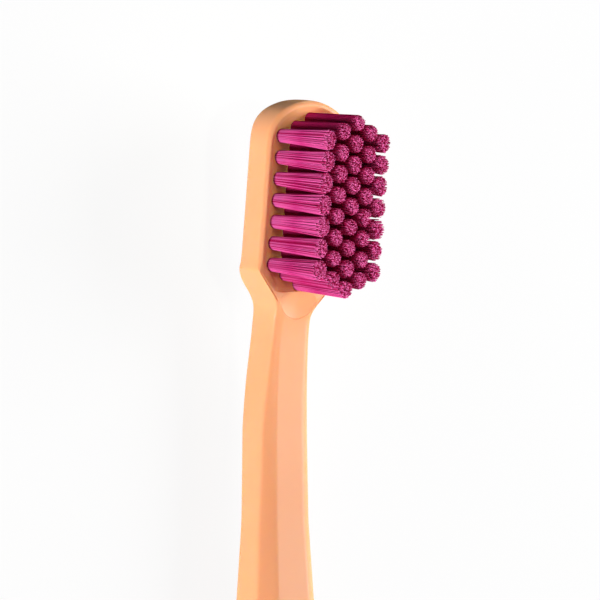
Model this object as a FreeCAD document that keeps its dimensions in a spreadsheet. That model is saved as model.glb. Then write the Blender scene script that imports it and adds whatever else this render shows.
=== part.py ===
"""A manual toothbrush, in millimetres, lying on the back of its handle with the bristles up.

X runs along the handle, from the tip of the head at -X to the end of the handle at +X, and Z is up.
The origin is on the resting surface, under the middle of the brush's length. The head leans on the
handle, so it has a frame of its own: u along the head, v across it (the same as Y) and w up the
bristles, with its origin in the middle of the tufted floor.
"""

import FreeCAD, Part
import math
import os

import Sketcher

doc = FreeCAD.newDocument("Toothbrush")

# Driving dimensions
sheet = doc.addObject("Spreadsheet::Sheet", "sizes")
driving_sizes = {
    # the head, in its own frame
    "head_x": -77.41,
    "head_z": 9.55,
    "head_tilt": 7.0,
    "head_width": 11.4,
    "head_thickness": 4.4,
    "head_tip_reach": 10.43,
    "head_tip_radius": 7.0,
    "head_corner_radius": 4.3,
    "head_back_radius": 2.2,
    "head_front_radius": 0.22,
    "shoulder_start": 6.4,
    "shoulder_angle": 42.0,
    "shoulder_radius": 1.5,
    "shoulder_blend": 3.0,
    "shoulder_end": 11.0,
    "shoulder_end_width": 4.95,
    # the shallow tray that the tufts stand in, and the round-ended flat that runs on into the neck
    "rim_height": 0.4,
    "tray_inset": 0.8,
    "tray_end": 9.4,
    "tray_end_width": 5.7,
    "tray_slope": 24.0,
    "tray_corner_u": 6.9,
    "tongue_radius": 2.15,
    "tongue_centre": 9.95,
    "tongue_thickness": 1.2,
    # the bristles, columns along u
    "column_spacing": 1.83,
    "outer_pitch": 2.2,
    "second_pitch": 2.15,
    "middle_pitch": 2.12,
    "hole_diameter": 1.41,
    "hole_depth": 3.1,
    "tuft_length": 8.0,
    "tuft_tip_diameter": 1.96,
    # the metal plate that holds each folded tuft in its hole
    "anchor_width": 1.75,
    "anchor_height": 1.3,
    "anchor_thickness": 0.25,
    "fold_thickness": 0.55,
    # the neck, whose first stretch runs on in line with the head
    "neck_root_u": 8.6,
    "neck_slim_u": 14.3,
    "neck_bend_u": 19.1,
    "neck_root_w": -1.9,
    "neck_root_width": 6.3,
    "neck_root_thickness": 4.5,
    "neck_root_bevel_across": 0.6,
    "neck_root_bevel_deep": 0.4,
    "neck_w": -2.19,
    "neck_slim_width": 5.1,
    "neck_slim_thickness": 4.15,
    "neck_slim_bevel_across": 0.6,
    "neck_slim_bevel_deep": 0.36,
    "neck_bend_width": 5.65,
    "neck_bend_thickness": 4.42,
    "neck_bend_bevel_across": 0.86,
    "neck_bend_bevel_deep": 0.46,
    # the handle, an eight-sided bar about one level axis
    "axis_height": 4.8,
    "neck_full_x": -54.5,
    "neck_full_width": 6.3,
    "neck_full_thickness": 4.72,
    "neck_full_bevel_across": 1.17,
    "neck_full_bevel_deep": 0.76,
    "neck_even_x": -49.5,
    "neck_even_width": 6.6,
    "neck_even_thickness": 4.78,
    "neck_even_bevel_across": 1.28,
    "neck_even_bevel_deep": 0.88,
    "throat_x": -44.5,
    "throat_width": 6.95,
    "throat_thickness": 4.88,
    "throat_bevel_across": 1.42,
    "throat_bevel_deep": 1.02,
    "flare_x": -27.0,
    "flare_width": 9.3,
    "flare_thickness": 7.1,
    "flare_bevel_across": 2.05,
    "flare_bevel_deep": 1.75,
    "grip_x": -5.0,
    "grip_length": 68.0,
    "grip_width": 11.6,
    "grip_thickness": 9.6,
    "grip_bevel_across": 2.65,
    "grip_bevel_deep": 2.45,
    "butt_x": 79.0,
    "butt_width": 10.8,
    "butt_thickness": 8.8,
    "butt_bevel_across": 2.55,
    "butt_bevel_deep": 2.35,
    "end_x": 88.0,
    "end_width": 9.8,
    "end_thickness": 7.8,
    "end_bevel_across": 2.4,
    "end_bevel_deep": 2.2,
    "dome_length": 48.0,
    "dome_radius": 20.0,
}
for row, (alias, value) in enumerate(driving_sizes.items(), start=1):
    sheet.set(f"A{row}", alias)
    sheet.set(f"B{row}", str(value))
    sheet.setAlias(f"B{row}", alias)
doc.recompute()

Vector = FreeCAD.Vector
Constraint = Sketcher.Constraint
START, END, CENTRE = 1, 2, 3
ORIGIN, ALONG, ACROSS = (-1, 1), -1, -2
head_frame = FreeCAD.Placement(
    Vector(sheet.head_x, 0, sheet.head_z), FreeCAD.Rotation(Vector(0, 1, 0), sheet.head_tilt)
)


def in_head(u, v, w):
    """A placement at a point of the head's frame, turned with the head."""
    return head_frame.multiply(FreeCAD.Placement(Vector(u, v, w), FreeCAD.Rotation()))


def sketch_on(body, role, name):
    """An empty sketch on one of the body's own origin planes."""
    planes = {plane.Role: plane for plane in body.Origin.OriginFeatures}
    sketch = body.newObject("Sketcher::SketchObject", name)
    sketch.AttachmentSupport = [(planes[role], "")]
    sketch.MapMode = "FlatFace"
    return sketch


def size(sketch, expression, kind, *where):
    """One dimension of a sketch, bound to the sheet."""
    value = sketch.evalExpression(expression)
    if kind == "Angle":
        value = math.radians(value.Value)
    index = sketch.addConstraint(Constraint(kind, *where, value))
    sketch.setExpression(f"Constraints[{index}]", expression)


def arc(centre, radius, start, end):
    """An arc of a circle, counter-clockwise between two directions in degrees."""
    circle = Part.Circle(Vector(*centre, 0), Vector(0, 0, 1), radius)
    return Part.ArcOfCircle(circle, math.radians(start), math.radians(end))


def line(start, end):
    return Part.LineSegment(Vector(*start, 0), Vector(*end, 0))


# Head outline, shared by the plate and by the tray inside its rim
TIP, UPPER_CORNER, LOWER_CORNER, UPPER_SIDE, LOWER_SIDE = range(5)


def draw_tip(sketch, inset, side_end):
    """The round tip, its two corners and both straight sides, a given inset inside the head's edge."""
    half = sheet.head_width / 2
    corner = sheet.head_corner_radius
    centre_u = sheet.head_tip_radius - sheet.head_tip_reach
    step = sheet.head_tip_radius - corner
    lean = math.degrees(math.asin((half - corner) / step))
    corner_u = centre_u - step * math.cos(math.radians(lean))
    corner_v = half - corner
    sketch.addGeometry(arc((centre_u, 0), sheet.head_tip_radius, 180 - lean, 180 + lean))
    sketch.addGeometry(arc((corner_u, corner_v), corner, 90, 180 - lean))
    sketch.addGeometry(arc((corner_u, -corner_v), corner, 180 + lean, 270))
    sketch.addGeometry(line((corner_u, half), (sheet.get(side_end), half)))
    sketch.addGeometry(line((corner_u, -half), (sheet.get(side_end), -half)))
    sketch.addConstraint(Constraint("Tangent", TIP, START, UPPER_CORNER, END))
    sketch.addConstraint(Constraint("Tangent", TIP, END, LOWER_CORNER, START))
    sketch.addConstraint(Constraint("Tangent", UPPER_CORNER, START, UPPER_SIDE, START))
    sketch.addConstraint(Constraint("Tangent", LOWER_CORNER, END, LOWER_SIDE, START))
    sketch.addConstraint(Constraint("Horizontal", UPPER_SIDE))
    sketch.addConstraint(Constraint("Horizontal", LOWER_SIDE))
    sketch.addConstraint(Constraint("PointOnObject", TIP, CENTRE, ALONG))
    sketch.addConstraint(Constraint("Equal", UPPER_CORNER, LOWER_CORNER))
    sketch.addConstraint(Constraint("Symmetric", UPPER_SIDE, END, LOWER_SIDE, END, ALONG))
    size(sketch, f"sizes.head_tip_radius - {inset}", "Radius", TIP)
    size(sketch, f"sizes.head_corner_radius - {inset}", "Radius", UPPER_CORNER)
    size(sketch, "sizes.head_tip_radius - sizes.head_tip_reach", "DistanceX", *ORIGIN, TIP, CENTRE)
    size(sketch, f"sizes.head_width / 2 - {inset}", "DistanceY", *ORIGIN, UPPER_SIDE, END)
    size(sketch, f"sizes.{side_end}", "DistanceX", *ORIGIN, UPPER_SIDE, END)


def draw_shoulder(sketch, side):
    """One shoulder: a round corner, a slant and a hollow curve that runs into the neck. side is 1 or -1."""
    angle = sheet.shoulder_angle
    slope = math.radians(angle)
    half = sheet.head_width / 2
    corner_u = sheet.shoulder_start + sheet.shoulder_radius * math.sin(slope)
    corner_v = half - sheet.shoulder_radius * (1 - math.cos(slope))
    hollow_u = sheet.shoulder_end - sheet.shoulder_blend * (math.sin(slope) - math.sin(slope / 2))
    hollow_v = corner_v - (hollow_u - corner_u) * math.tan(slope)
    corner_centre = (sheet.shoulder_start, side * (half - sheet.shoulder_radius))
    hollow_centre = (
        hollow_u + sheet.shoulder_blend * math.sin(slope),
        side * (hollow_v + sheet.shoulder_blend * math.cos(slope)),
    )
    if side > 0:
        straight, near, far = UPPER_SIDE, END, START
        corner_arc = arc(corner_centre, sheet.shoulder_radius, 90 - angle, 90)
        hollow_arc = arc(hollow_centre, sheet.shoulder_blend, 270 - angle, 270 - angle / 2)
    else:
        straight, near, far = LOWER_SIDE, START, END
        corner_arc = arc(corner_centre, sheet.shoulder_radius, 270, 270 + angle)
        hollow_arc = arc(hollow_centre, sheet.shoulder_blend, 90 + angle / 2, 90 + angle)
    corner = sketch.addGeometry(corner_arc)
    slant = sketch.addGeometry(line((corner_u, side * corner_v), (hollow_u, side * hollow_v)))
    hollow = sketch.addGeometry(hollow_arc)
    sketch.addConstraint(Constraint("Tangent", straight, END, corner, near))
    sketch.addConstraint(Constraint("Tangent", corner, far, slant, START))
    sketch.addConstraint(Constraint("Tangent", slant, END, hollow, far))
    size(sketch, "sizes.shoulder_radius", "Radius", corner)
    size(sketch, "sizes.shoulder_blend", "Radius", hollow)
    size(sketch, f"{-side} * sizes.shoulder_angle * 1 deg", "Angle", slant)
    size(sketch, "sizes.shoulder_end", "DistanceX", *ORIGIN, hollow, near)
    size(sketch, f"{side} * sizes.shoulder_end_width / 2", "DistanceY", *ORIGIN, hollow, near)
    return hollow, near


# Head plate, with a well rounded back edge and a slightly broken front edge
head_plate = doc.addObject("PartDesign::Body", "head_plate")
outline = sketch_on(head_plate, "XY_Plane", "head_outline")
outline.setExpression("AttachmentOffset.Base.z", "sizes.rim_height - sizes.head_thickness")
draw_tip(outline, "0", "shoulder_start")
upper_hollow = draw_shoulder(outline, 1)
lower_hollow = draw_shoulder(outline, -1)
half_end = sheet.shoulder_end_width / 2
closing = outline.addGeometry(line((sheet.shoulder_end, half_end), (sheet.shoulder_end, -half_end)))
outline.addConstraint(Constraint("Coincident", closing, START, *upper_hollow))
outline.addConstraint(Constraint("Coincident", closing, END, *lower_hollow))
plate = head_plate.newObject("PartDesign::Pad", "plate")
plate.Profile = outline
plate.setExpression("Length", "sizes.head_thickness")
doc.recompute()


def edges_at(feature, height):
    """The names of a feature's edges that lie at one height, apart from the end inside the neck."""
    names = []
    for number, edge in enumerate(feature.Shape.Edges, start=1):
        box = edge.BoundBox
        level = abs(box.ZMin - height) < 1e-6 and abs(box.ZMax - height) < 1e-6
        if level and box.XMin < sheet.shoulder_end - 1e-6:
            names.append(f"Edge{number}")
    return names


back_round = head_plate.newObject("PartDesign::Fillet", "back_round")
back_round.Base = (plate, edges_at(plate, sheet.rim_height - sheet.head_thickness))
back_round.setExpression("Radius", "sizes.head_back_radius")
doc.recompute()
front_round = head_plate.newObject("PartDesign::Fillet", "front_round")
front_round.Base = (back_round, edges_at(back_round, sheet.rim_height))
front_round.setExpression("Radius", "sizes.head_front_radius")
head_plate.Placement = head_frame
doc.recompute()


# Neck and handle: eight-sided sections about their own centres, lofted one to the next
def draw_section(body, name, centre, lean, width, thickness, across, deep):
    """An eight-sided section across the bar. The last four are expressions for its size and its bevels."""
    sketch = sketch_on(body, "YZ_Plane", name)
    turn = FreeCAD.Rotation(Vector(1, 0, 0), lean)
    sketch.AttachmentOffset = FreeCAD.Placement(Vector(0, centre.z, centre.x), turn)
    half_width = sketch.evalExpression(width) / 2
    half_thickness = sketch.evalExpression(thickness) / 2
    flat = half_width - sketch.evalExpression(across)
    rise = half_thickness - sketch.evalExpression(deep)
    right = [(flat, -half_thickness), (half_width, -rise), (half_width, rise), (flat, half_thickness)]
    corners = right + [(-y, z) for y, z in reversed(right)]
    for start, end in zip(corners, corners[1:] + corners[:1]):
        sketch.addGeometry(line(start, end))
    for side in range(8):
        sketch.addConstraint(Constraint("Coincident", side, END, (side + 1) % 8, START))
    for corner in range(4):
        sketch.addConstraint(Constraint("Symmetric", corner, START, 7 - corner, START, ACROSS))
    for corner in range(2):
        sketch.addConstraint(Constraint("Symmetric", corner, START, 3 - corner, START, ALONG))
    size(sketch, f"({width}) / 2", "DistanceX", *ORIGIN, 1, START)
    size(sketch, f"({thickness}) / 2", "DistanceY", *ORIGIN, 3, START)
    size(sketch, across, "DistanceX", 3, START, 2, START)
    size(sketch, deep, "DistanceY", 2, START, 3, START)
    return sketch


def loft(body, name, sections):
    feature = body.newObject("PartDesign::AdditiveLoft", name)
    feature.Profile = sections[0]
    feature.Sections = sections[1:]
    return feature


def on_axis(x):
    return Vector(x, 0, sheet.axis_height)


def sized(name):
    """Expressions for a named section's width, thickness and bevels."""
    return [f"sizes.{name}_{part}" for part in ("width", "thickness", "bevel_across", "bevel_deep")]


neck = doc.addObject("PartDesign::Body", "neck")
root_centre = head_frame.multVec(Vector(sheet.neck_root_u, 0, sheet.neck_root_w))
slim_centre = head_frame.multVec(Vector(sheet.neck_slim_u, 0, sheet.neck_w))
bend_centre = head_frame.multVec(Vector(sheet.neck_bend_u, 0, sheet.neck_w))
loft(
    neck,
    "neck_loft",
    [
        draw_section(neck, "neck_root", root_centre, sheet.head_tilt, *sized("neck_root")),
        draw_section(neck, "neck_slim", slim_centre, sheet.head_tilt, *sized("neck_slim")),
        draw_section(neck, "neck_bend", bend_centre, sheet.head_tilt / 2, *sized("neck_bend")),
        draw_section(neck, "neck_full", on_axis(sheet.neck_full_x), 0, *sized("neck_full")),
        draw_section(neck, "neck_even", on_axis(sheet.neck_even_x), 0, *sized("neck_even")),
        draw_section(neck, "throat", on_axis(sheet.throat_x), 0, *sized("throat")),
    ],
)

# The handle swells from the throat of the neck to the grip
swell = doc.addObject("PartDesign::Body", "swell")
grip_start = on_axis(sheet.grip_x)
loft(
    swell,
    "swell_loft",
    [
        draw_section(swell, "swell_start", on_axis(sheet.throat_x), 0, *sized("throat")),
        draw_section(swell, "flare", on_axis(sheet.flare_x), 0, *sized("flare")),
        draw_section(swell, "grip_start", grip_start, 0, *sized("grip")),
    ],
)

# The grip is a straight bar, so that its back is a true flat to lie on
grip = doc.addObject("PartDesign::Body", "grip")
bar = grip.newObject("PartDesign::Pad", "grip_bar")
bar.Profile = draw_section(grip, "grip_section", grip_start, 0, *sized("grip"))
bar.setExpression("Length", "sizes.grip_length")

# The end of the handle tapers a little and is domed
butt = doc.addObject("PartDesign::Body", "butt")
grip_end = on_axis(sheet.grip_x + sheet.grip_length)
loft(
    butt,
    "butt_loft",
    [
        draw_section(butt, "grip_end", grip_end, 0, *sized("grip")),
        draw_section(butt, "butt_middle", on_axis(sheet.butt_x), 0, *sized("butt")),
        draw_section(butt, "butt_end", on_axis(sheet.end_x), 0, *sized("end")),
    ],
)
dome = doc.addObject("Part::Ellipsoid", "dome")
dome.setExpression("Radius1", "sizes.dome_radius")
dome.setExpression("Radius2", "sizes.dome_length")
dome.setExpression("Radius3", "sizes.dome_radius")
dome.Placement.Base = on_axis(sheet.end_x - sheet.dome_length)
rounded_butt = doc.addObject("Part::Common", "rounded_butt")
rounded_butt.Base = butt
rounded_butt.Tool = dome

# The head's flat front runs on over the neck as a tongue with a round end
tongue = doc.addObject("Part::Cylinder", "tongue")
tongue.setExpression("Radius", "sizes.tongue_radius")
tongue.setExpression("Height", "sizes.tongue_thickness")
tongue.Placement = in_head(sheet.tongue_centre, 0, sheet.rim_height - sheet.tongue_thickness)

blank = doc.addObject("Part::MultiFuse", "blank")
blank.Shapes = [head_plate, neck, swell, grip, rounded_butt, tongue]
blank.Refine = True

# Tray: the shallow hollow inside the head's rim, with sloping walls
tray = doc.addObject("PartDesign::Body", "tray")
tray_outline = sketch_on(tray, "XY_Plane", "tray_outline")
draw_tip(tray_outline, "sizes.tray_inset", "tray_corner_u")
half_end = sheet.tray_end_width / 2
tray_half = sheet.head_width / 2 - sheet.tray_inset
upper_slant = tray_outline.addGeometry(line((sheet.tray_corner_u, tray_half), (sheet.tray_end, half_end)))
lower_slant = tray_outline.addGeometry(line((sheet.tray_corner_u, -tray_half), (sheet.tray_end, -half_end)))
closing = tray_outline.addGeometry(line((sheet.tray_end, half_end), (sheet.tray_end, -half_end)))
tray_outline.addConstraint(Constraint("Coincident", UPPER_SIDE, END, upper_slant, START))
tray_outline.addConstraint(Constraint("Coincident", LOWER_SIDE, END, lower_slant, START))
tray_outline.addConstraint(Constraint("Coincident", upper_slant, END, closing, START))
tray_outline.addConstraint(Constraint("Coincident", lower_slant, END, closing, END))
tray_outline.addConstraint(Constraint("Symmetric", closing, START, closing, END, ALONG))
size(tray_outline, "sizes.tray_end", "DistanceX", *ORIGIN, closing, START)
size(tray_outline, "sizes.tray_end_width / 2", "DistanceY", *ORIGIN, closing, START)
tray_pad = tray.newObject("PartDesign::Pad", "tray_pad")
tray_pad.Profile = tray_outline
tray_pad.setExpression("Length", "2 * sizes.rim_height")
tray_pad.setExpression("TaperAngle", "sizes.tray_slope * 1 deg")
tray.Placement = head_frame

# Tufts and their anchors, column by column across the head
columns = [
    (7, "outer_pitch"),
    (8, "second_pitch"),
    (9, "middle_pitch"),
    (8, "second_pitch"),
    (7, "outer_pitch"),
]
roots = []
tufts = []
anchor_groups = []
for column, (count, pitch) in enumerate(columns, start=1):
    v = (column - 3) * sheet.column_spacing
    anchors = []
    for place in range(1, count + 1):
        u = (place - (count + 1) / 2) * sheet.get(pitch)
        name = f"{column}_{place}"

        root = doc.addObject("Part::Cylinder", f"root_{name}")
        root.setExpression("Radius", "sizes.hole_diameter / 2")
        root.setExpression("Height", "sizes.hole_depth")
        root.Placement = in_head(u, v, -sheet.hole_depth)
        roots.append(root)

        flare = doc.addObject("Part::Cone", f"flare_{name}")
        flare.setExpression("Radius1", "sizes.hole_diameter / 2")
        flare.setExpression("Radius2", "sizes.tuft_tip_diameter / 2")
        flare.setExpression("Height", "sizes.tuft_length")
        flare.Placement = in_head(u, v, 0)

        anchor = doc.addObject("Part::Box", f"anchor_{name}")
        anchor.setExpression("Length", "sizes.anchor_thickness")
        anchor.setExpression("Width", "sizes.anchor_width")
        anchor.setExpression("Height", "sizes.anchor_height")
        anchor.Placement = in_head(
            u - sheet.anchor_thickness / 2,
            v - sheet.anchor_width / 2,
            sheet.fold_thickness - sheet.hole_depth,
        )
        anchors.append(anchor)

        bundle = doc.addObject("Part::Fuse", f"bundle_{name}")
        bundle.Base = root
        bundle.Tool = flare
        tuft = doc.addObject("Part::Cut", f"tuft_{name}")
        tuft.Base = bundle
        tuft.Tool = anchor
        tufts.append(tuft)

    group = doc.addObject("Part::Compound", f"anchors_column_{column}")
    group.Links = anchors
    anchor_groups.append(group)

# Brush body: the blank less its tray, its tuft holes and the slots that the anchors bite into it
cutters = {"trayed": [tray], "drilled": roots, "brush_body": anchor_groups}
brush_body = blank
for name, tools in cutters.items():
    tool = doc.addObject("Part::Compound", f"{name}_tools")
    tool.Links = tools
    cut = doc.addObject("Part::Cut", name)
    cut.Base = brush_body
    cut.Tool = tool
    brush_body = cut
doc.recompute()

# Every object must be sound before anything is written
for item in doc.Objects:
    if "Invalid" in item.State or "Error" in item.State:
        raise RuntimeError(f"{item.Name} failed: {item.State}")
os.makedirs("parts", exist_ok=True)
sub_parts = [brush_body] + tufts + anchor_groups
for item in sub_parts:
    item.Label = item.Name
    shape = item.Shape
    if shape.isNull() or not shape.isValid() or not shape.Solids:
        raise RuntimeError(f"{item.Label} has no sound shape")
for item in sub_parts:
    item.Shape.exportStep(f"parts/{item.Label}.step")
print(f"{len(sub_parts)} nodes written, brush body {brush_body.Shape.Volume / 1000:.2f} cm3")
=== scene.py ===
import bmesh
import bpy
import math
import random
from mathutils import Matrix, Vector


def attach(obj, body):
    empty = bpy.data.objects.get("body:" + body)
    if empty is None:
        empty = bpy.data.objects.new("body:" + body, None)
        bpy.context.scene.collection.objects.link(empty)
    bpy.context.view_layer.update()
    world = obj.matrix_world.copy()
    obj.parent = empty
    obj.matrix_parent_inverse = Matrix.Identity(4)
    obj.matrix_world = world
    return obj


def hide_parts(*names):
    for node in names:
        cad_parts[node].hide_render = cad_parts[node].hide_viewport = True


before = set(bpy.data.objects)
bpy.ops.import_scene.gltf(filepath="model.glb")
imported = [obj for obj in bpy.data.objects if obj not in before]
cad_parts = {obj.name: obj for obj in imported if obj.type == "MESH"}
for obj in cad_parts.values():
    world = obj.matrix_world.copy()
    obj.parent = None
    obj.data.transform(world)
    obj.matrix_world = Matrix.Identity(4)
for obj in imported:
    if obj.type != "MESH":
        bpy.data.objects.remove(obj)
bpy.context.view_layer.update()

# Brush body
# One injection moulding in satin orange polypropylene: the head with its shallow tray, the neck and the
# eight-sided handle. It is drawn out ring by ring from the handle's end to the head's tip, and drilled.
# Sizes are in millimetres, which MM turns into metres.
MM = 0.001
AXIS_HEIGHT = 4.8

# how far a bevel's soft corners reach, at most and as a share of the bevel, the degrees between the points
# of a round edge, and the steps across half of a level front
SOFT_EDGE, SOFT_SHARE = 0.2, 0.25
ROUND_STEP = 30
FACE_STEPS = 7


def part_way(start, end, share):
    return start + (end - start) * share


def corner_length(inset, depth):
    """How far the soft corners of a bevel reach, which is less on a small bevel."""
    return min(SOFT_EDGE, SOFT_SHARE * math.hypot(inset, depth))


def long_edge(side, level, inset, depth, bevelled):
    """Four points over one long edge, from the flat at a level to the side.

    A positive depth puts the side above the flat. The edge is a quarter round where bevelled is 0, and a
    flat bevel with soft corners where it is 1.
    """
    length = math.hypot(inset, depth)
    soft = corner_length(inset, depth)
    across = soft * inset / length
    rise = soft * depth / length
    bevel = [
        (side - inset - soft, level),
        (side - inset + across, level + rise),
        (side - across, level + depth - rise),
        (side, level + depth + math.copysign(soft, depth)),
    ]
    points = []
    for number, (v, w) in enumerate(bevel):
        turn = math.radians(ROUND_STEP * number)
        round_v = side - inset * (1 - math.sin(turn))
        round_w = level + depth * (1 - math.cos(turn))
        points.append((part_way(round_v, v, bevelled), part_way(round_w, w, bevelled)))
    return points


def half_section(side, back, front, back_edge, front_edge, face):
    """One half of a section, from the middle of the back round the side to the middle of the front."""
    inset, depth, bevelled = front_edge
    front_points = long_edge(side, front, inset, -depth, bevelled)
    return [(0, back)] + long_edge(side, back, *back_edge) + front_points[::-1] + face


def both_halves(half):
    """A whole section, with the second half a mirror image of the first."""
    return half + [(-v, w) for v, w in half[-2:0:-1]]


def level_face(edge, level):
    """The inner half of a level front, from beside its edge to the middle."""
    return [(edge * step / FACE_STEPS, level) for step in range(FACE_STEPS - 1, -1, -1)]


rings = []

# x, width, thickness and bevel (across and deep) of the handle's sections, from its end to the neck
HANDLE_SECTIONS = [
    (88.0, 9.8, 7.8, 2.4, 2.2),
    (79.0, 10.8, 8.8, 2.55, 2.35),
    (63.0, 11.6, 9.6, 2.65, 2.45),
    (-5.0, 11.6, 9.6, 2.65, 2.45),
    (-27.0, 9.3, 7.1, 2.05, 1.75),
    (-44.5, 6.95, 4.88, 1.42, 1.02),
    (-49.5, 6.6, 4.78, 1.28, 0.88),
    (-54.5, 6.3, 4.72, 1.17, 0.76),
]

# the rings of the handle, closer together beside each section, and pulled in by the dome at the end, whose
# own rings take the place of the first two
NEAR_SECTION = (0, 0.12, 0.5, 0.88)
DOME_START, DOME_LENGTH, DOME_RADIUS = 40.0, 48.0, 20.0
DOME_RINGS = (87.95, 87.75, 87.4, 86.9, 86.3)
RINGS_REPLACED = 2
handle_places = []
for start, end in zip(HANDLE_SECTIONS, HANDLE_SECTIONS[1:]):
    for share in NEAR_SECTION:
        handle_places.append([part_way(a, b, share) for a, b in zip(start, end)])
end_section, next_section = HANDLE_SECTIONS[:2]
dome_places = []
for x in DOME_RINGS:
    share = (end_section[0] - x) / (end_section[0] - next_section[0])
    dome_places.append([part_way(a, b, share) for a, b in zip(end_section, next_section)])
ring_places = dome_places + handle_places[RINGS_REPLACED:] + [HANDLE_SECTIONS[-1]]
for x, width, thickness, across, deep in ring_places:
    side = width / 2
    level = thickness / 2
    bevel = (across, deep, 1)
    half = half_section(side, -level, level, bevel, bevel, level_face(side - across - SOFT_EDGE, level))
    reach = DOME_RADIUS * math.sqrt(max(0, 1 - ((x - DOME_START) / DOME_LENGTH) ** 2))
    ring = []
    for v, w in both_halves(half):
        pull = min(1, reach / math.hypot(v, w)) if x > DOME_START else 1
        ring.append(Vector((x, v * pull, AXIS_HEIGHT + w * pull)) * MM)
    rings.append(ring)

# the neck, which bends from the handle's line into the head's and leans half as far where it starts to bend
HEAD_X, HEAD_Z = -77.41, 9.55
HEAD_TILT = math.radians(7)
NECK_U = 14.3
NECK_MIDDLE_W = -2.19
BEND = {"u": 19.1, "side": 2.825, "level": 2.21, "bevel": (0.86, 0.46, 1), "lean": 0.5}
SLIM = {"u": NECK_U, "side": 2.55, "level": 2.075, "bevel": (0.62, 0.36, 1), "lean": 1}
NECK_RINGS = (0, 0.5)


def in_head(u, v, w):
    """A point of the head's own frame, along it, across it and up its bristles, as a place on the brush."""
    x = HEAD_X + u * math.cos(HEAD_TILT) + w * math.sin(HEAD_TILT)
    z = HEAD_Z - u * math.sin(HEAD_TILT) + w * math.cos(HEAD_TILT)
    return Vector((x, v, z)) * MM


for share in NECK_RINGS:
    u = part_way(BEND["u"], SLIM["u"], share)
    side = part_way(BEND["side"], SLIM["side"], share)
    level = part_way(BEND["level"], SLIM["level"], share)
    bevel = tuple(part_way(a, b, share) for a, b in zip(BEND["bevel"], SLIM["bevel"]))
    half = half_section(side, -level, level, bevel, bevel, level_face(side - bevel[0] - SOFT_EDGE, level))
    turn = HEAD_TILT * part_way(BEND["lean"], SLIM["lean"], share)
    centre = in_head(u, 0, NECK_MIDDLE_W)
    ring = []
    for v, w in both_halves(half):
        ring.append(centre + Vector((w * math.sin(turn), v, w * math.cos(turn))) * MM)
    rings.append(ring)

# the outline of the head, from its straight sides over a round corner, a slant and a hollow to the neck
HEAD_SIDE, NECK_SIDE = 5.73, 2.53
SHOULDER_START = 7.0
SHOULDER_ANGLE = math.radians(42)
SHOULDER_ROUND, SHOULDER_HOLLOW = 0.6, 3.0


def shoulder_side(u):
    """Half the width of the head at a place along it."""
    slope = math.tan(SHOULDER_ANGLE)
    round_end = SHOULDER_START + SHOULDER_ROUND * math.sin(SHOULDER_ANGLE)
    slant_top = HEAD_SIDE - SHOULDER_ROUND * (1 - math.cos(SHOULDER_ANGLE))
    slant_foot = NECK_SIDE + SHOULDER_HOLLOW * (1 - math.cos(SHOULDER_ANGLE))
    hollow_start = round_end + (slant_top - slant_foot) / slope
    hollow_end = hollow_start + SHOULDER_HOLLOW * math.sin(SHOULDER_ANGLE)
    if u < SHOULDER_START:
        return HEAD_SIDE
    if u < round_end:
        along = u - SHOULDER_START
        return HEAD_SIDE - SHOULDER_ROUND + math.sqrt(SHOULDER_ROUND**2 - along**2)
    if u < hollow_start:
        return slant_top - (u - round_end) * slope
    along = max(0, hollow_end - u)
    return NECK_SIDE + SHOULDER_HOLLOW - math.sqrt(SHOULDER_HOLLOW**2 - along**2)


# the shallow tray inside the head's rim, whose edge slants in from a corner to its end by the neck
RIM, RIM_WIDTH = 0.4, 0.72
TRAY_SLOPE = math.tan(math.radians(45))
TRAY_CORNER_U = 6.65
TRAY_END_U, TRAY_END_SIDE = 9.4, 2.9
TRAY_END_FOOT, TRAY_END_RUN = 9.2, 0.17
TRAY_SOFT, TRAY_SOFT_DEPTH = 0.1, 0.09
RIM_SOFT, FOOT_SOFT = 0.03, 0.04


def tray_face(rim_start, edge, stretch, floor):
    """The inner half of the front where it has the tray: the flat rim, the sloping wall and the floor."""
    top = edge + TRAY_SOFT * stretch
    foot = edge - RIM * TRAY_SLOPE * stretch
    return [
        ((rim_start + top) / 2, RIM),
        (top, RIM),
        (edge - RIM_SOFT * stretch, max(floor, RIM - TRAY_SOFT_DEPTH)),
        (foot + FOOT_SOFT * stretch, max(floor, TRAY_SOFT_DEPTH)),
        (foot - TRAY_SOFT * stretch, floor),
        (foot / 2, floor),
        (0, floor),
    ]


def risen(value, start, end):
    """0 before start, 1 after end, with an even rise between them."""
    return min(1, max(0, (value - start) / (end - start)))


def eased(value, start, end):
    """0 before start, 1 after end, with a smooth rise between them."""
    share = risen(value, start, end)
    return share * share * (3 - 2 * share)


# the rings of the shoulders and the straight sides, whose front falls from the rim to the neck: each change,
# turn or fall is the stretch along the head over which it happens
HEAD_BACK, NECK_BACK, BACK_LEVEL_U = -4.0, -4.265, 7.5
BACK_ROUND, BACK_CHANGE = (2.2, 2.2, 0.0), (8.6, 6.2)
FRONT_BEVEL = (0.36, 0.28, 1)
SLANT_BEVEL, SLANT_CHANGE = (0.06, 0.1), (6.6, 7.4)
SLANT_TURN = (6.85, 7.4)
BEVEL_WIDENING, SLOPE_WIDENING = 0.35, 0.29
NECK_BEVEL, NECK_CHANGE = (0.74, 0.37), (10.0, 12.0)
SLIM_CHANGE = (12.2, NECK_U)
LIP_FOOT, LIP_FALL = -0.05, (9.9, 12.6)
NECK_FRONT, NECK_FALL = -0.115, (12.4, NECK_U)
HEAD_RINGS = [
    14.3, 13.2, 12.4, 11.9, 11.3, 10.8, 10.2, 9.7,
    9.5, 9.37, 9.27, 9.15, 8.5, 7.9, 7.5, 7.25, 7.0, 6.6, 5.5, 4.0, 1.0, -3.0,
]
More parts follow.
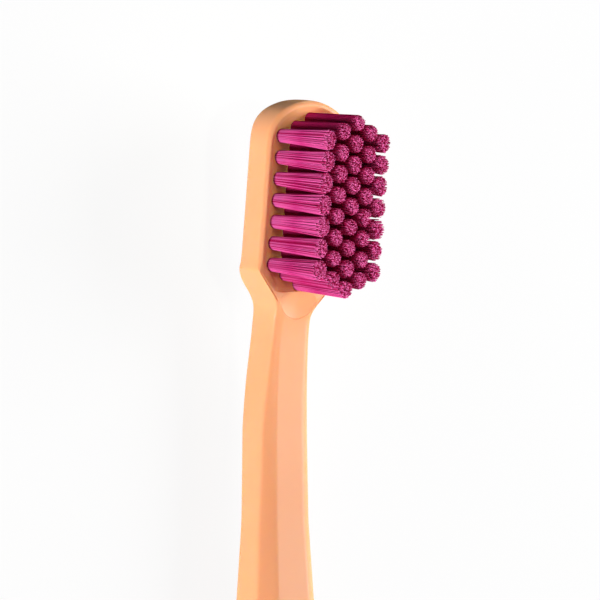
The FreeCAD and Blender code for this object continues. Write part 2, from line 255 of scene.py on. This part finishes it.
for u in HEAD_RINGS:
    side = shoulder_side(u)
    back = part_way(NECK_BACK, HEAD_BACK, eased(u, NECK_U, BACK_LEVEL_U))
    to_head = eased(u, *BACK_CHANGE)
    back_edge = tuple(part_way(a, b, to_head) for a, b in zip(SLIM["bevel"], BACK_ROUND))
    front = part_way(RIM, LIP_FOOT, eased(u, *LIP_FALL))
    front = part_way(front, NECK_FRONT, eased(u, *NECK_FALL))
    to_slant = eased(u, *SLANT_CHANGE)
    to_neck = eased(u, *NECK_CHANGE)
    turned = eased(u, *SLANT_TURN)
    inset = part_way(FRONT_BEVEL[0], SLANT_BEVEL[0], to_slant) * (1 + BEVEL_WIDENING * turned)
    inset = part_way(inset, NECK_BEVEL[0], to_neck)
    inset = part_way(inset, SLIM["bevel"][0], eased(u, *SLIM_CHANGE))
    deep = part_way(FRONT_BEVEL[1], SLANT_BEVEL[1], to_slant)
    deep = part_way(deep, NECK_BEVEL[1], to_neck)
    if u > TRAY_END_U:
        face = level_face(side - inset - SOFT_EDGE, front)
    else:
        edge = part_way(HEAD_SIDE - RIM_WIDTH, TRAY_END_SIDE, risen(u, TRAY_CORNER_U, TRAY_END_U))
        floor = RIM * risen(u - TRAY_END_FOOT, 0, TRAY_END_RUN)
        rim_start = side - inset - corner_length(inset, deep)
        face = tray_face(rim_start, edge, 1 + SLOPE_WIDENING * turned, floor)
    half = half_section(side, back, front, back_edge, (inset, deep, 1), face)
    rings.append([in_head(u, v, w) for v, w in both_halves(half)])

# the round end of the head, whose rings fan out from the sides over two corners to the tip
TIP_CENTRE_U, TIP_RADIUS = -3.43, 7.07
CORNER_U, CORNER_V, CORNER_RADIUS = -5.74, 1.4, 4.36
TIP_TURN = math.radians(31.2)
BACK_MIDDLE_U, FLOOR_MIDDLE_U = -8.1, -9.2
TIP_BACK_ROUND, TIP_BACK_CHANGE = (1.6, 1.6, 0.0), (0, 45)
FAN_STEP, FAN_END = 15, 90
rim_start = HEAD_SIDE - FRONT_BEVEL[0] - corner_length(*FRONT_BEVEL[:2])
tray = tray_face(rim_start, HEAD_SIDE - RIM_WIDTH, 1, 0)
for degrees in range(0, FAN_END + 1, FAN_STEP):
    turn = math.radians(degrees)
    to_tip = eased(degrees, *TIP_BACK_CHANGE)
    back_edge = [part_way(a, b, to_tip) for a, b in zip(BACK_ROUND, TIP_BACK_ROUND)]
    centre_u, centre_v, radius = CORNER_U, CORNER_V, CORNER_RADIUS
    if turn > math.pi / 2 - TIP_TURN:
        centre_u, centre_v, radius = TIP_CENTRE_U, 0, TIP_RADIUS
    half = []
    for v, w in half_section(HEAD_SIDE, HEAD_BACK, RIM, back_edge, FRONT_BEVEL, tray):
        inward = HEAD_SIDE - v
        u = centre_u - (radius - inward) * math.sin(turn)
        v = centre_v + (radius - inward) * math.cos(turn)
        half.append((u, v, w))
    share = degrees / FAN_END
    half[0] = (part_way(CORNER_U, BACK_MIDDLE_U, share), 0, HEAD_BACK)
    half[-1] = (part_way(CORNER_U, FLOOR_MIDDLE_U, share), 0, 0)
    half[-2] = tuple((a + b) / 2 for a, b in zip(half[-3], half[-1]))
    whole = half + [(u, -v, w) for u, v, w in half[-2:0:-1]]
    rings.append([in_head(*point) for point in whole])

# the mesh: the handle's end is closed, each ring is extruded to the next, and the tip's last ring folds shut
MERGE_DISTANCE = 0.001
bpy.ops.object.select_all(action="DESELECT")
bpy.ops.mesh.primitive_circle_add(vertices=len(rings[0]), radius=AXIS_HEIGHT * MM)
brush_body = bpy.context.object
brush_body.name = "moulded_brush_body"
places = brush_body.data.attributes.new("place_on_ring", "INT", "POINT")
places.data.foreach_set("value", range(len(rings[0])))
bpy.ops.object.mode_set(mode="EDIT")
bpy.ops.mesh.select_all(action="SELECT")
for number, ring in enumerate(rings):
    if number:
        bpy.ops.mesh.extrude_edges_move()
    mesh = bmesh.from_edit_mesh(brush_body.data)
    layer = mesh.verts.layers.int["place_on_ring"]
    for vert in mesh.verts:
        if vert.select:
            vert.co = ring[vert[layer]]
    if number == 0:
        bpy.ops.mesh.edge_face_add()
        bpy.ops.mesh.select_mode(type="EDGE")
        bpy.ops.mesh.select_all(action="DESELECT")
        bpy.ops.mesh.select_mode(type="VERT")
        bpy.ops.mesh.select_all(action="SELECT")
    bmesh.update_edit_mesh(brush_body.data)
bpy.ops.mesh.select_all(action="SELECT")
bpy.ops.mesh.remove_doubles(threshold=MERGE_DISTANCE * MM)
bpy.ops.mesh.normals_make_consistent(inside=False)
bpy.ops.object.mode_set(mode="OBJECT")
brush_body.data.attributes.remove(brush_body.data.attributes["place_on_ring"])
rounding = brush_body.modifiers.new("rounding", "SUBSURF")
rounding.levels = 2
rounding.render_levels = 2
bpy.ops.object.modifier_apply(modifier="rounding")

# the blind holes, one for each tuft, in five staggered columns, each with its count and pitch
HOLE_RADIUS, HOLE_DEPTH = 0.705, 3.1
DRILL_TOP = 0.2
COLUMN_SPACING = 1.83
COLUMNS = [(7, 2.2), (8, 2.15), (9, 2.12), (8, 2.15), (7, 2.2)]
MIDDLE_COLUMN = 3
tuft_places = {}
for column, (count, pitch) in enumerate(COLUMNS, start=1):
    for place in range(1, count + 1):
        middle_u = (place - (count + 1) / 2) * pitch
        tuft_places[column, place] = (middle_u, (column - MIDDLE_COLUMN) * COLUMN_SPACING)
bpy.ops.object.select_all(action="DESELECT")
bpy.ops.mesh.primitive_plane_add(size=MM)
drills = bpy.context.object
bpy.ops.object.mode_set(mode="EDIT")
bpy.ops.mesh.delete(type="VERT")
for u, v in tuft_places.values():
    bpy.ops.mesh.primitive_cylinder_add(
        vertices=24,
        radius=HOLE_RADIUS * MM,
        depth=(HOLE_DEPTH + DRILL_TOP) * MM,
        location=in_head(u, v, (DRILL_TOP - HOLE_DEPTH) / 2),
        rotation=(0, HEAD_TILT, 0),
    )
bpy.ops.object.mode_set(mode="OBJECT")
bpy.context.view_layer.objects.active = brush_body
holes = brush_body.modifiers.new("holes", "BOOLEAN")
holes.operation = "DIFFERENCE"
holes.solver = "EXACT"
holes.object = drills
bpy.ops.object.modifier_apply(modifier="holes")
bpy.data.objects.remove(drills)
brush_body.select_set(True)

# the shallow round scoop between the tray and the neck, with fine grooves round its foot and along the
# shoulders
SCOOP_U, SCOOP_W, SCOOP_RADIUS = 11.6, 9.968, 10.0
GROOVE_U, GROOVE_W, GROOVE_REACH = 9.785, 0.496, 2.42
GROOVE_TILT = math.radians(12.2)
GROOVE_RADIUS, EDGE_GROOVE_RADIUS = 0.06, 0.09
EDGE_GROOVE = [(7.6, 5.2, 0.42), (10.6, 2.5, 0.36)]
SHARP_ANGLE = math.radians(35)
bpy.ops.object.mode_set(mode="EDIT")
bpy.ops.mesh.select_all(action="DESELECT")
bpy.ops.mesh.primitive_uv_sphere_add(
    segments=144, ring_count=96, radius=SCOOP_RADIUS * MM, location=in_head(SCOOP_U, 0, SCOOP_W)
)
bpy.ops.mesh.intersect_boolean(operation="DIFFERENCE", solver="EXACT")
bpy.ops.mesh.mark_sharp()
bpy.ops.mesh.select_all(action="DESELECT")
bpy.ops.mesh.primitive_torus_add(
    major_segments=120,
    minor_segments=8,
    major_radius=GROOVE_REACH * MM,
    minor_radius=GROOVE_RADIUS * MM,
    location=in_head(GROOVE_U, 0, GROOVE_W),
    rotation=(0, HEAD_TILT + GROOVE_TILT, 0),
)
bpy.ops.mesh.intersect_boolean(operation="DIFFERENCE", solver="EXACT")
for hand in (1, -1):
    groove_start, groove_end = (in_head(u, hand * v, w) for u, v, w in EDGE_GROOVE)
    bpy.ops.mesh.select_all(action="DESELECT")
    bpy.ops.mesh.primitive_cylinder_add(
        vertices=12,
        radius=EDGE_GROOVE_RADIUS * MM,
        depth=(groove_end - groove_start).length,
        location=(groove_start + groove_end) / 2,
        rotation=(groove_end - groove_start).to_track_quat("Z", "Y").to_euler(),
    )
    bpy.ops.mesh.intersect_boolean(operation="DIFFERENCE", solver="EXACT")
bpy.ops.object.mode_set(mode="OBJECT")
bpy.ops.object.shade_smooth_by_angle(angle=SHARP_ANGLE)


def new_material(name):
    """A material with its node tree and the shader in it."""
    material = bpy.data.materials.new(name)
    material.use_nodes = True
    return material, material.node_tree, material.node_tree.nodes["Principled BSDF"]


def fine_grain_group():
    """Mottling and a fine grain over a surface, each from 0 to 1, at two scales in features per metre."""
    group = bpy.data.node_groups.new("fine_grain", "ShaderNodeTree")
    for name in ("Mottle Scale", "Grain Scale"):
        group.interface.new_socket(name, in_out="INPUT", socket_type="NodeSocketFloat")
    for name in ("Mottle", "Grain"):
        group.interface.new_socket(name, in_out="OUTPUT", socket_type="NodeSocketFloat")
    nodes = group.nodes
    links = group.links
    given = nodes.new("NodeGroupInput")
    result = nodes.new("NodeGroupOutput")
    place = nodes.new("ShaderNodeTexCoord")
    for name, detail in (("Mottle", 2), ("Grain", 1)):
        noise = nodes.new("ShaderNodeTexNoise")
        noise.inputs["Detail"].default_value = detail
        links.new(place.outputs["Object"], noise.inputs["Vector"])
        links.new(given.outputs[f"{name} Scale"], noise.inputs["Scale"])
        links.new(noise.outputs["Fac"], result.inputs[name])
    return group


fine_grain = fine_grain_group()


def add_grain(tree, mottle_scale, grain_scale):
    node = tree.nodes.new("ShaderNodeGroup")
    node.node_tree = fine_grain
    node.inputs["Mottle Scale"].default_value = mottle_scale
    node.inputs["Grain Scale"].default_value = grain_scale
    return node


def spread(tree, value, low, high):
    """A value from 0 to 1 spread over a range."""
    node = tree.nodes.new("ShaderNodeMapRange")
    node.inputs["To Min"].default_value = low
    node.inputs["To Max"].default_value = high
    tree.links.new(value, node.inputs["Value"])
    return node.outputs["Result"]


def two_colours(tree, share, first, second):
    """A mix of two colours, each a colour or a link from another node."""
    node = tree.nodes.new("ShaderNodeMix")
    node.data_type = "RGBA"
    tree.links.new(share, node.inputs["Factor"])
    for socket, colour in ((node.inputs["A"], first), (node.inputs["B"], second)):
        if isinstance(colour, tuple):
            socket.default_value = colour
        else:
            tree.links.new(colour, socket)
    return node.outputs["Result"]


def add_satin(tree, shader, share, roughness):
    """Mix a small even gloss into a material, which stays faint where the surface is seen edge on."""
    gloss = tree.nodes.new("ShaderNodeBsdfGlossy")
    gloss.inputs["Roughness"].default_value = roughness
    mix = tree.nodes.new("ShaderNodeMixShader")
    mix.inputs["Fac"].default_value = share
    tree.links.new(shader.outputs["BSDF"], mix.inputs[1])
    tree.links.new(gloss.outputs["BSDF"], mix.inputs[2])
    tree.links.new(mix.outputs["Shader"], tree.nodes["Material Output"].inputs["Surface"])
    return gloss


BODY_PLASTIC = (0.96, 0.42, 0.205, 1)
BODY_PLASTIC_DEEP = (0.95, 0.39, 0.18, 1)
GRAIN_HEIGHT = 0.02
SCATTER_DEPTH = 0.12
body_material, tree, shader = new_material("orange_polypropylene")
grain = add_grain(tree, mottle_scale=140, grain_scale=6000)
bump = tree.nodes.new("ShaderNodeBump")
bump.inputs["Strength"].default_value = 0.12
bump.inputs["Distance"].default_value = GRAIN_HEIGHT * MM
tree.links.new(grain.outputs["Grain"], bump.inputs["Height"])
tree.links.new(bump.outputs["Normal"], shader.inputs["Normal"])
body_colour = two_colours(tree, grain.outputs["Mottle"], BODY_PLASTIC_DEEP, BODY_PLASTIC)
tree.links.new(body_colour, shader.inputs["Base Color"])
tree.links.new(spread(tree, grain.outputs["Grain"], low=0.3, high=0.42), shader.inputs["Roughness"])
shader.inputs["Specular IOR Level"].default_value = 0.0
shader.inputs["Subsurface Weight"].default_value = 0.8
shader.inputs["Subsurface Radius"].default_value = (1.0, 0.9, 0.4)
shader.inputs["Subsurface Scale"].default_value = SCATTER_DEPTH * MM
gloss = add_satin(tree, shader, share=0.025, roughness=0.33)
tree.links.new(bump.outputs["Normal"], gloss.inputs["Normal"])
brush_body.data.materials.append(body_material)
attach(brush_body, "root")
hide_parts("brush_body")

# Bristle tufts
# Each tuft is a bundle of fine pink nylon filaments, folded in half into a hole of the head and trimmed
# level, with rounded ends that spread a little. One filament is modelled, and bent copies fill each tuft.
FILAMENT_RADIUS = 0.047
TUFT_LENGTH, TUFT_DEPTH = 8.0, 3.0
BEND_HEIGHTS = (-1.2, -0.1, 3.2, 7.3)
END_ROUND = 0.6
FACING_UP = 0.9
bpy.ops.object.select_all(action="DESELECT")
bpy.ops.mesh.primitive_cylinder_add(
    vertices=6,
    radius=FILAMENT_RADIUS,
    depth=TUFT_LENGTH + TUFT_DEPTH,
    location=(0, 0, (TUFT_LENGTH - TUFT_DEPTH) / 2),
)
filament = bpy.context.object
bpy.ops.object.transform_apply(location=True)
bpy.ops.object.mode_set(mode="EDIT")
for height in BEND_HEIGHTS:
    bpy.ops.mesh.select_all(action="SELECT")
    bpy.ops.mesh.bisect(plane_co=(0, 0, height), plane_no=(0, 0, 1))
mesh = bmesh.from_edit_mesh(filament.data)
for face in mesh.faces:
    face.select_set(face.normal.z > FACING_UP)
bmesh.update_edit_mesh(filament.data)
bpy.ops.mesh.bevel(offset=END_ROUND * FILAMENT_RADIUS, segments=1, affect="EDGES")
bpy.ops.object.mode_set(mode="OBJECT")
filament_points = [vert.co.copy() for vert in filament.data.vertices]
filament_faces = [list(face.vertices) for face in filament.data.polygons]
bpy.data.objects.remove(filament)

# the nylon's colours from root to end, each at its share of the length, where the bright lilac end is a
# painted sheen on the rounded ends, and the deep one that they are mixed with by the tone of each filament
FILAMENT_DEEP = (0.41, 0.002, 0.075, 1)
FILAMENT_ROOT = (0.62, 0.12, 0.39, 1)
FILAMENT_MIDDLE = (0.68, 0.05, 0.27, 1)
FILAMENT_PINK = (0.77, 0.105, 0.37, 1)
FILAMENT_END_WITH_SHEEN = (0.96, 0.22, 0.58, 1)
BETWEEN = [(0.25, FILAMENT_PINK), (0.5, FILAMENT_MIDDLE), (0.8, FILAMENT_PINK), (0.985, FILAMENT_PINK)]
filament_material, tree, shader = new_material("pink_nylon")
# the tone attribute holds each filament's random tone and, on the inner tufts, their painted shade
tone = tree.nodes.new("ShaderNodeAttribute")
tone.attribute_name = "tone"
rise = tree.nodes.new("ShaderNodeAttribute")
rise.attribute_name = "rise"
along = tree.nodes.new("ShaderNodeValToRGB")
along.color_ramp.elements[0].color = FILAMENT_ROOT
along.color_ramp.elements[1].color = FILAMENT_END_WITH_SHEEN
for position, colour in BETWEEN:
    along.color_ramp.elements.new(position).color = colour
tree.links.new(rise.outputs["Fac"], along.inputs["Fac"])
filament_colour = two_colours(tree, tone.outputs["Fac"], FILAMENT_DEEP, along.outputs["Color"])
tree.links.new(filament_colour, shader.inputs["Base Color"])
grain = add_grain(tree, mottle_scale=900, grain_scale=30000)
tree.links.new(spread(tree, grain.outputs["Mottle"], low=0.28, high=0.48), shader.inputs["Roughness"])
shader.inputs["Specular IOR Level"].default_value = 0.0
add_satin(tree, shader, share=0.006, roughness=0.35)

# the filaments of a tuft stand in rings, each with six more than the one inside it, and go down past the two
# sides of its anchor at the bottom of the hole
FILAMENT_RINGS, RING_GROWTH = 7, 6
ANCHOR_HALF = 0.125
FOLD_TOP, FOLD_SHARE = -1, 0.6
OUTER_COLUMNS = (1, 5)
COLUMN_SEED = 100

# half the size of a tuft's end along and across the head, and how much the tufts and their filaments vary
OUTER_END, INNER_END, END_VARIES = (1.02, 0.84), (0.87, 0.86), 0.03
TURN_VARIES, REACH_VARIES, BOW_VARIES = 0.06, 0.03, 0.025
SPREAD_POWER = 1.1
EDGE_SHORTER, TRIM_STEPS, TRIM_VARIES = 0.3, (0, 0.06, 0.3), 0.05

# the tufts that aren't in the outer columns or the row by the neck get painted shade round the edge of
# their ends and on their sides below them, where their neighbours shade them, and END_START is the share
# of the length at which the ends, with their painted sheen, begin
UNSHADED_TONES, SHADED_TONES = (0.8, 0.5), (0.7, 0.3)
EDGE_START, EDGE_PAINTED_SHADE, INNER_PAINTED_SHADE, END_START = 0.7, 0.28, 0.12, 0.98
for (column, place), (middle_u, middle_v) in tuft_places.items():
    draw = random.Random(COLUMN_SEED * column + place)
    outer = column in OUTER_COLUMNS
    unshaded = outer or place == COLUMNS[column - 1][0]
    tip_u, tip_v = (draw.gauss(size, END_VARIES) for size in (OUTER_END if outer else INNER_END))
    points = []
    faces = []
    tones = []
    rises = []
    starts = [(0, 0)]
    for ring in range(1, FILAMENT_RINGS + 1):
        start_turn = draw.uniform(0, math.tau)
        count = RING_GROWTH * ring
        starts += [(ring / FILAMENT_RINGS, start_turn + math.tau * step / count) for step in range(count)]
    for share, turn in starts:
        root = (HOLE_RADIUS - FILAMENT_RADIUS) * share
        root_u = root * math.cos(turn)
        root_v = root * math.sin(turn)
        beside = math.copysign(ANCHOR_HALF + FILAMENT_RADIUS, root_u) + FOLD_SHARE * root_u
        lean = turn + draw.gauss(0, TURN_VARIES)
        reach = share + draw.gauss(0, REACH_VARIES)
        end_u = (tip_u - FILAMENT_RADIUS) * reach * math.cos(lean)
        end_v = (tip_v - FILAMENT_RADIUS) * reach * math.sin(lean)
        bow = draw.gauss(0, BOW_VARIES)
        trim = draw.choice(TRIM_STEPS)
        length = TUFT_LENGTH - EDGE_SHORTER * share**4 - trim - abs(draw.gauss(0, TRIM_VARIES))
        tone_drawn = draw.betavariate(*(UNSHADED_TONES if unshaded else SHADED_TONES))
        # painted shade: the edges of the inner tufts' ends and their sides below are darkened where
        # neighbouring tufts shade them
        painted_edge_shade = part_way(1, EDGE_PAINTED_SHADE, eased(share, EDGE_START, 1))
        end_tone_and_shade = tone_drawn if unshaded else tone_drawn * painted_edge_shade
        side_tone_and_shade = tone_drawn if unshaded else tone_drawn * INNER_PAINTED_SHADE
        faces += [[index + len(points) for index in face] for face in filament_faces]
        for point in filament_points:
            height = point.z / TUFT_LENGTH
            spread_out = max(0, height) ** SPREAD_POWER
            bowed = bow * math.sin(math.pi * max(0, height))
            u = part_way(root_u, end_u, spread_out) + bowed * math.cos(turn)
            v = part_way(root_v, end_v, spread_out) + bowed * math.sin(turn)
            if point.z < FOLD_TOP:
                u = beside
            up = point.z * length / TUFT_LENGTH if point.z > 0 else point.z
            points.append(in_head(middle_u + u + point.x, middle_v + v + point.y, up))
            tones.append(end_tone_and_shade if height > END_START else side_tone_and_shade)
            rises.append(max(0, height))
    mesh = bpy.data.meshes.new(f"tuft_of_filaments_{column}_{place}")
    mesh.from_pydata(points, [], faces)
    for name, values in (("tone", tones), ("rise", rises)):
        mesh.attributes.new(name, "FLOAT", "POINT").data.foreach_set("value", values)
    mesh.materials.append(filament_material)
    mesh.shade_smooth()
    tuft = bpy.data.objects.new(mesh.name, mesh)
    bpy.context.scene.collection.objects.link(tuft)
    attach(tuft, "root")
    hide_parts(f"tuft_{column}_{place}")

# Tuft anchors
# Small flat plates stamped from brass strip, pressed across the fold of each tuft so that they bite into
# the wall of its hole. The plates in model.glb have the right shape, and take a brass finish here.
BRASS, BRASS_DULL = (0.68, 0.46, 0.2, 1), (0.52, 0.34, 0.15, 1)
anchor_material, tree, shader = new_material("stamped_brass")
grain = add_grain(tree, mottle_scale=1500, grain_scale=12000)
brass_colour = two_colours(tree, grain.outputs["Mottle"], BRASS_DULL, BRASS)
tree.links.new(brass_colour, shader.inputs["Base Color"])
tree.links.new(spread(tree, grain.outputs["Grain"], low=0.25, high=0.45), shader.inputs["Roughness"])
shader.inputs["Metallic"].default_value = 1.0
for column in range(1, len(COLUMNS) + 1):
    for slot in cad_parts[f"anchors_column_{column}"].material_slots:
        slot.material = anchor_material

# Studio
# A plain white table under two soft lamps, low on the left and higher on the right, and a narrow lamp over
# the head. The camera looks down on the head from its left side.
TABLE_SHADE, TABLE_WHITE = (0.25, 0.25, 0.25, 1), (0.9, 0.9, 0.9, 1)
TABLE_GLOW = 0.9
bpy.ops.object.select_all(action="DESELECT")
bpy.ops.mesh.primitive_plane_add(size=4)
floor = bpy.context.object
floor.name = "table"


def seen_directly(tree):
    """1 for what the camera sees itself or through gloss and glass, 0 for light that falls on surfaces."""
    path = tree.nodes.new("ShaderNodeLightPath")
    value = path.outputs["Is Camera Ray"]
    for name in ("Is Glossy Ray", "Is Transmission Ray"):
        node = tree.nodes.new("ShaderNodeMath")
        node.operation = "MAXIMUM"
        tree.links.new(value, node.inputs[0])
        tree.links.new(path.outputs[name], node.inputs[1])
        value = node.outputs[0]
    return value


table_material, tree, shader = new_material("white_table")
table_seen = seen_directly(tree)
table_colour = two_colours(tree, table_seen, TABLE_SHADE, TABLE_WHITE)
tree.links.new(table_colour, shader.inputs["Base Color"])
shader.inputs["Roughness"].default_value = 0.9
white = tree.nodes.new("ShaderNodeEmission")
mix = tree.nodes.new("ShaderNodeMixShader")
tree.links.new(spread(tree, table_seen, low=0, high=TABLE_GLOW), mix.inputs["Fac"])
tree.links.new(shader.outputs["BSDF"], mix.inputs[1])
tree.links.new(white.outputs["Emission"], mix.inputs[2])
tree.links.new(mix.outputs["Shader"], tree.nodes["Material Output"].inputs["Surface"])
floor.data.materials.append(table_material)


def place_lamp(data, place, aim):
    lamp = bpy.data.objects.new(data.name, data)
    bpy.context.scene.collection.objects.link(lamp)
    lamp.location = place
    lamp.rotation_euler = (Vector(aim) - Vector(place)).to_track_quat("-Z", "Y").to_euler()


def soft_lamp(name, place, aim, size, power):
    data = bpy.data.lights.new(name, "AREA")
    data.shape = "RECTANGLE"
    data.size, data.size_y = size
    data.energy = power
    place_lamp(data, place, aim)


HEAD_MIDDLE = in_head(4, 0, 2)
soft_lamp("left_lamp", place=(0.16, -0.54, 0.06), aim=HEAD_MIDDLE, size=(0.2, 0.1), power=4.3)
soft_lamp("right_lamp", place=(-0.14, 0.52, 0.34), aim=HEAD_MIDDLE, size=(0.4, 0.4), power=5.9)

# the narrow lamp brightens the tray beside the tufts and fades out along the neck
head_lamp = bpy.data.lights.new("head_lamp", "SPOT")
head_lamp.energy = 1.6
head_lamp.color = (0.93, 1.0, 0.8)
head_lamp.spot_size = math.radians(7.6)
head_lamp.spot_blend = 0.9
head_lamp.shadow_soft_size = 0.02
place_lamp(head_lamp, place=(-0.055, -0.025, 0.31), aim=in_head(-1, -4, 0))

WHITE = (1, 1, 1, 1)
world = bpy.data.worlds.new("studio")
bpy.context.scene.world = world
world.use_nodes = True
tree = world.node_tree
ambient = tree.nodes["Background"]
ambient.inputs["Color"].default_value = WHITE
ambient.inputs["Strength"].default_value = 0.1
backdrop = tree.nodes.new("ShaderNodeBackground")
backdrop.inputs["Color"].default_value = WHITE
mix = tree.nodes.new("ShaderNodeMixShader")
tree.links.new(seen_directly(tree), mix.inputs["Fac"])
tree.links.new(ambient.outputs["Background"], mix.inputs[1])
tree.links.new(backdrop.outputs["Background"], mix.inputs[2])
tree.links.new(mix.outputs["Shader"], tree.nodes["World Output"].inputs["Surface"])

# the camera's turn is in degrees about X, Y and Z
CAMERA_PLACE = (-0.05014, -0.26719, 0.32133)
CAMERA_TURN = (2.559, -40.528, 89.738)
camera_data = bpy.data.cameras.new("camera")
camera_data.lens = 240
camera_data.sensor_width = 36
camera = bpy.data.objects.new("camera", camera_data)
bpy.context.scene.collection.objects.link(camera)
camera.location = CAMERA_PLACE
camera.rotation_euler = [math.radians(angle) for angle in CAMERA_TURN]
bpy.context.scene.camera = camera
bpy.context.scene.view_settings.view_transform = "Standard"
